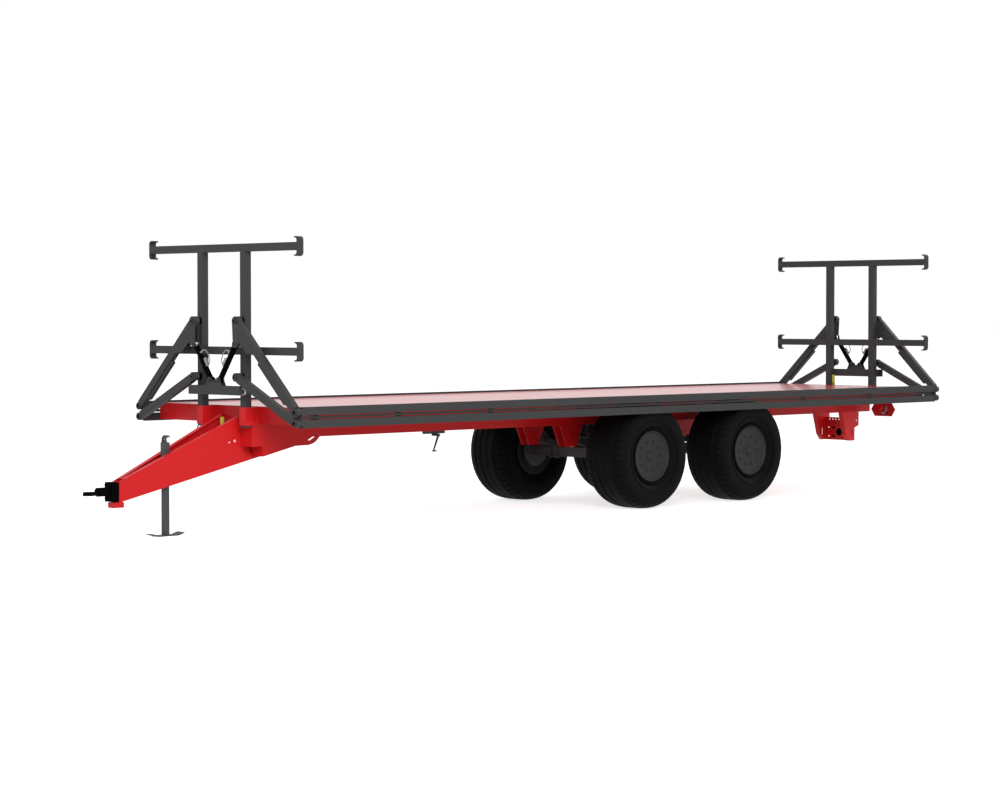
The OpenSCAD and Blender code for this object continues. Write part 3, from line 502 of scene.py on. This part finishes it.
def bar(start, end, radius, around=24, edge=0.12):
    """A round bar: circles p + r (u cos a + v sin a) along a line, its ends chamfered by a share of r."""
    start, end = np.asarray(start, float), np.asarray(end, float)
    line = (end - start) / np.linalg.norm(end - start)
    side_way = np.cross(line, (0.31, 0.17, 0.93))
    side_way /= np.linalg.norm(side_way)
    other = np.cross(line, side_way)
    cut = edge * radius
    rings = [(start, radius - cut), (start + line * cut, radius), (end - line * cut, radius),
             (end, radius - cut)]
    angle = np.linspace(0, 2 * np.pi, around, endpoint=False)[:, None]
    around_line = side_way * np.cos(angle) + other * np.sin(angle)
    points = np.concatenate([middle + size * around_line for middle, size in rings])
    caps = [list(range(around)), list(range(3 * around, 4 * around))]
    return points, grid_faces(4, around, False, True) + caps


def block(low, high):
    """A rectangular block: every mix of two opposite corners' x, y and z."""
    low, high = np.asarray(low, float), np.asarray(high, float)
    points = np.array([[(low, high)[i][0], (low, high)[j][1], (low, high)[k][2]]
                       for i in (0, 1) for j in (0, 1) for k in (0, 1)])
    return points, [[0, 1, 3, 2], [4, 6, 7, 5], [0, 4, 5, 1], [2, 3, 7, 6], [0, 2, 6, 4], [1, 5, 7, 3]]


zinc = bright_metal("zinc_plate", (0.3, 0.31, 0.33), 0.42)
for corner in corners:
    side = 1 if corner[1] == "l" else -1
    low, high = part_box(f"barrel_{corner}")
    rod_low, rod_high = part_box(f"rod_{corner}")
    eye_r, pin_r = 0.026, 0.024                  # radii of the base eye and of the rod's eye
    y = (low.y + high.y) / 2
    inner = low.x if side > 0 else high.x
    outer = rod_high.x if side > 0 else rod_low.x
    base = np.array((inner + side * eye_r, y, low.z + eye_r))
    tip = np.array((outer - side * pin_r, y, rod_high.z - pin_r))
    stroke = tip - base
    length = np.linalg.norm(stroke)
    line = stroke / length
    inward = np.array((-side * line[2], 0, side * line[0]))     # square to the cylinder, to the middle
    parts = [bar(base + line * (length - 0.052), base + line * (length - 0.036), 0.0315, 40)]
    parts.append(bar(base + line * (length - 0.036), base + line * (length - 0.031), 0.019, 32))
    add_piece(f"gland_nut_{corner}", parts, black_enamel, f"barrel_{corner}", 30)
    ports = []
    ends = []
    valve = base + line * length * 0.47 + inward * 0.044
    ports.append(bar(valve - line * 0.042, valve + line * 0.03, 0.019, 8, 0.2))
    ports.append(bar(valve - line * 0.062, valve - line * 0.042, 0.011, 6, 0.1))
    for share in (0.36, 0.72):
        foot = base + line * length * share
        ports.append(bar(foot + inward * 0.022, foot + inward * 0.044, 0.015, 24))
        ports.append(bar(foot + inward * 0.044, foot + inward * 0.058, 0.0125, 6, 0.05))
        ports.append(bar(foot + inward * 0.058, foot + inward * 0.066, 0.009, 16))
        ends.append(foot + inward * 0.064)
    add_piece(f"cylinder_ports_{corner}", ports, zinc, f"barrel_{corner}", 30)
    pull = inward * 0.05
    route = np.concatenate([bend(ends[0], ends[0] + pull * 0.8, (ends[0] + ends[1]) / 2 + pull, 14),
                            bend((ends[0] + ends[1]) / 2 + pull, ends[1] + pull * 0.8, ends[1], 14)[1:]])
    add_piece(f"cylinder_pipe_{corner}", [swept(route, 0.006)], zinc, f"barrel_{corner}", 40)


# ---------------------------------------------------------------- pins and bolts
# Dark ends on the rails' pins, painted caps with small bolts over the arms' pivot pins and the
# cylinders' base pins, and the bolts that hold the tow block to the nose. Each rail also has a
# slim charcoal strip in the middle of the gap between its two tubes: partly a web that closes the
# gap, partly painted shade, a dark sheet that stands in for the shade in that gap.
rail_pin_rise = 0.055           # metres, each rail pin above or below the rail's middle
shade_strip_half = 0.013              # metres, half the strip's height
for side_name in ("left", "right"):
    low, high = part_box(f"rail_{side_name}")
    middle = (low + high) / 2
    parts = []
    for end in (-1, 1):
        face = low.y if end < 0 else high.y
        for z in (middle.z + rail_pin_rise, middle.z - rail_pin_rise):
            parts.append(bar((middle.x, face - end * 0.002, z), (middle.x, face + end * 0.006, z),
                             0.017, 24, 0.2))
    add_piece(f"rail_bolts_{side_name}", parts, black_enamel, f"rail_{side_name}", 30)
    # The strip is partly painted shade: its dark face stands in for the shade between the tubes.
    strip = block((middle.x - 0.004, low.y + 0.12, middle.z - shade_strip_half),
                  (middle.x + 0.004, high.y - 0.12, middle.z + shade_strip_half))
    add_piece(f"rail_shade_strip_{side_name}", [strip], charcoal_enamel, f"rail_{side_name}", 30)

post_pin_x, upper_pin_z, lower_pin_z = 0.346, 2.14, 1.575     # the arms' pivots on the posts
ear_pin_x, ear_pin_z = 0.07, 1.54                             # the cylinders' base pins
for end_name, end in (("front", -1), ("rear", 1)):
    low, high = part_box(f"{end_name}_pins")
    face = low.y if end < 0 else high.y
    caps, dots = [], []
    for x in (-post_pin_x, post_pin_x):
        for z in (upper_pin_z, lower_pin_z):
            caps.append(bar((x, face - end * 0.0095, z), (x, face + end * 0.003, z), 0.0275, 40, 0.12))
            dots.append(bar((x, face - end * 0.002, z), (x, face + end * 0.007, z), 0.013, 6, 0.2))
    for x in (-ear_pin_x, ear_pin_x):
        caps.append(bar((x, face - end * 0.0075, ear_pin_z), (x, face - end * 0.002, ear_pin_z),
                        0.0145, 32, 0.15))
    add_piece(f"{end_name}_pin_caps", caps, charcoal_enamel, "root", 30)
    add_piece(f"{end_name}_pin_bolts", dots, black_enamel, "root", 30)

low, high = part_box("tow_block")
bolts = []
for x in (-0.042, 0.042):
    for z in np.linspace(low.z + 0.03, high.z - 0.03, 4):
        bolts.append(bar((x, low.y + 0.001, z), (x, low.y - 0.012, z), 0.0125, 6, 0.15))
        bolts.append(bar((x, low.y + 0.001, z), (x, low.y - 0.003, z), 0.016, 24, 0.1))
add_piece("tow_block_bolts", bolts, black_enamel, "root", 30)


# ---------------------------------------------------------------- lamps
# On each six-sided plate at the rear: a red lamp and an amber one in a black housing behind the
# plate, a red reflector and a small grey holder in front of it.
def clear_plastic(name, colour):
    """A moulded lens: clear coloured plastic with fine optics inside."""
    material = bpy.data.materials.new(name)
    tree, make, join = shader_nodes(material)
    place = make("ShaderNodeTexCoord")
    optics = make("ShaderNodeTexVoronoi", Scale=190.0)
    bump = make("ShaderNodeBump", Strength=0.3, Distance=0.001)
    lens = make("ShaderNodeBsdfPrincipled", Roughness=0.18)
    lens.inputs["Base Color"].default_value = (*colour, 1)
    lens.inputs["Coat Weight"].default_value = 0.6
    out = make("ShaderNodeOutputMaterial")
    join(place.outputs["Object"], optics.inputs["Vector"])
    join(optics.outputs["Distance"], bump.inputs["Height"])
    join(bump.outputs["Normal"], lens.inputs["Normal"])
    join(lens.outputs[0], out.inputs["Surface"])
    return material


red_lens = clear_plastic("red_lens", (0.62, 0.004, 0.012))
amber_lens = clear_plastic("amber_lens", (0.8, 0.22, 0.01))
lamp_rise = 0.0875              # metres, the lamps' middle above the plate's lower edge
plate_thick = 0.01
for side_name in ("left", "right"):
    low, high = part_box(f"light_{side_name}")
    x = (low.x + high.x) / 2
    z = low.z + lamp_rise
    plate_back, plate_front = high.y, high.y - plate_thick
    add_piece(f"lamp_housing_{side_name}", [block((x - 0.125, plate_back - 0.001, z - 0.06),
                                                  (x + 0.125, plate_back + 0.03, z + 0.06))],
              charcoal_enamel, "root", 30)
    add_piece(f"plate_holder_{side_name}", [block((x + 0.045, plate_front - 0.012, z - 0.055),
                                                  (x + 0.075, plate_front + 0.001, z + 0.045)),
                                            block((x - 0.01, plate_front - 0.012, z - 0.055),
                                                  (x + 0.075, plate_front + 0.001, z - 0.035))],
              zinc, "root", 30)
    lens = [block((x - 0.12, plate_back + 0.028, z - 0.055), (x - 0.003, plate_back + 0.043, z + 0.055)),
            bar((x - 0.035, plate_front + 0.001, z + 0.032), (x - 0.035, plate_front - 0.022, z + 0.032),
                0.034, 32)]
    add_piece(f"red_lamp_{side_name}", lens, red_lens, "root", 30)
    amber = [block((x + 0.003, plate_back + 0.028, z - 0.055), (x + 0.12, plate_back + 0.043, z + 0.055))]
    add_piece(f"amber_lamp_{side_name}", amber, amber_lens, "root", 30)


# ---------------------------------------------------------------- small fittings
# A steel ring under the front beam, a bent pipe end with its plate at the lower bar, two
# yellow-green marker posts, two lubrication points on the drawbar, and the rear hitch's sleeve.
def ring(centre, radius, thick, turns=48):
    """A round ring in the X-Z plane: centre + (R + t cos b) (cos a, 0, sin a) + (0, t sin b, 0)."""
    angle = np.linspace(0, 2 * np.pi, turns, endpoint=False)[:, None]
    round_it = np.linspace(0, 2 * np.pi, 14, endpoint=False)[None, :]
    out_from = radius + thick * np.cos(round_it)
    points = np.stack([centre[0] + out_from * np.cos(angle), centre[1] + thick * np.sin(round_it) + 0 * angle,
                       centre[2] + out_from * np.sin(angle)], -1)
    return points.reshape(-1, 3), grid_faces(turns, 14, True, True)


beam_low, beam_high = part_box("front_beam")
bar_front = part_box("front_frame")[0].y           # front face of the lower bar
ring_x, ring_y = -0.375, beam_low.y + 0.03       # under the right-hand post's socket
socket_foot = beam_low.z
hook = [bar((ring_x, ring_y, socket_foot + 0.002), (ring_x, ring_y, socket_foot - 0.016), 0.007, 16),
        ring((ring_x, ring_y, socket_foot - 0.046), 0.046, 0.006)]
add_piece("lashing_ring", hook, dark_enamel, "root", 40)

bar_end = 0.412                 # left end of the lower bar, and the height of its middle
pipe_z = 1.432
pipe_y = bar_front + 0.03
outermost = (bar_end + 0.06, pipe_y, pipe_z)
pipe_path = np.concatenate([bend((bar_end - 0.01, pipe_y, pipe_z + 0.03),
                                 (bar_end + 0.075, pipe_y, pipe_z + 0.032), outermost, 12),
                            bend(outermost, (bar_end + 0.075, pipe_y, pipe_z - 0.032),
                                 (bar_end - 0.01, pipe_y, pipe_z - 0.03), 12)[1:]])
add_piece("bar_end_loop", [swept(pipe_path, 0.011)], zinc, "root", 40)
add_piece("bar_end_plate", [block((bar_end - 0.004, bar_front + 0.002, pipe_z - 0.036),
                                  (bar_end + 0.003, bar_front + 0.06, pipe_z + 0.046))],
          charcoal_enamel, "root", 30)

marker_green = enamel("marker_green", (0.2, 0.23, 0.03), 0.5, 0.0, specular=0.3)
marker_yellow = enamel("marker_yellow", (0.5, 0.42, 0.04), 0.5, 0.0, specular=0.3)
beam_face = beam_high.y - 0.1                    # front face of the front beam, between the sockets
# (x, y, lowest z, highest z) of each marker, and the box of the arm that holds it
markers = {"front_marker": (0.013, beam_face - 0.15, 1.012, 1.166, (0.006, beam_face - 0.15, 1.12),
                            (0.02, beam_face + 0.001, 1.132)),
           "rear_marker": (-0.287, 6.02, 1.2, 1.41, (-0.307, 6.012, 1.3), (-0.287, 6.028, 1.312))}
for name, (x, y, z_low, z_high, arm_from, arm_to) in markers.items():
    middle = (z_low + z_high) / 2
    for half, (foot, top, size, finish) in {"lower": (z_low, middle, 0.021, marker_green),
                                            "upper": (middle, z_high, 0.02, marker_yellow)}.items():
        add_piece(f"{name}_{half}", [bar((x, y, foot), (x, y, top), size, 28)], finish, "root",
                  30)
    add_piece(f"{name}_arm", [block(arm_from, arm_to)], dark_enamel, "root", 30)

# The nipples stand on the drawbar's left plate, whose outer face runs straight from the nose to the
# taper's end.
nose_half, nose_y, taper_half, taper_y = 0.055, -5.796, 0.2, -4.146
nipples = []
for y, z, size in ((-4.453, 0.926, 0.014), (-4.518, 0.913, 0.009)):
    x = nose_half + (taper_half - nose_half) * (y - nose_y) / (taper_y - nose_y)
    nipples.append(bar((x - 0.003, y, z), (x + 0.005, y, z), size, 24, 0.3))
white_plastic = enamel("white_plastic", (0.75, 0.74, 0.73), 0.5, 0.0, peel=0.0, specular=0.3)
add_piece("drawbar_nipples", nipples, white_plastic, "root", 30)

# The hitch's sleeve is a short tube behind the console's hole, with a blind pocket behind each slot.
low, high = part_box("rear_console")
cross_plate_y = low.y + 0.284                    # rear face of the console's cross plate
hitch_z = low.z + 0.104
sleeve_in, sleeve_out, sleeve_l = 0.0505, 0.06, 0.14
sleeve_section = np.array([(sleeve_in, 0.0), (sleeve_in, sleeve_l), (sleeve_out, sleeve_l),
                           (sleeve_out, 0.0)])
points, faces = turned(sleeve_section, (cross_plate_y + 0.0005, 0.0, hitch_z), 64)
hitch_parts = [(points[:, [1, 0, 2]], faces)]
for x, z in ((-0.085, -0.058), (-0.085, 0.058), (0.085, -0.058), (0.085, 0.058)):
    hitch_parts.append(block((x - 0.03, cross_plate_y + 0.0005, hitch_z + z - 0.016),
                             (x + 0.03, cross_plate_y + 0.01, hitch_z + z + 0.016)))
add_piece("hitch_sleeve", hitch_parts, black_enamel, "root", 30)
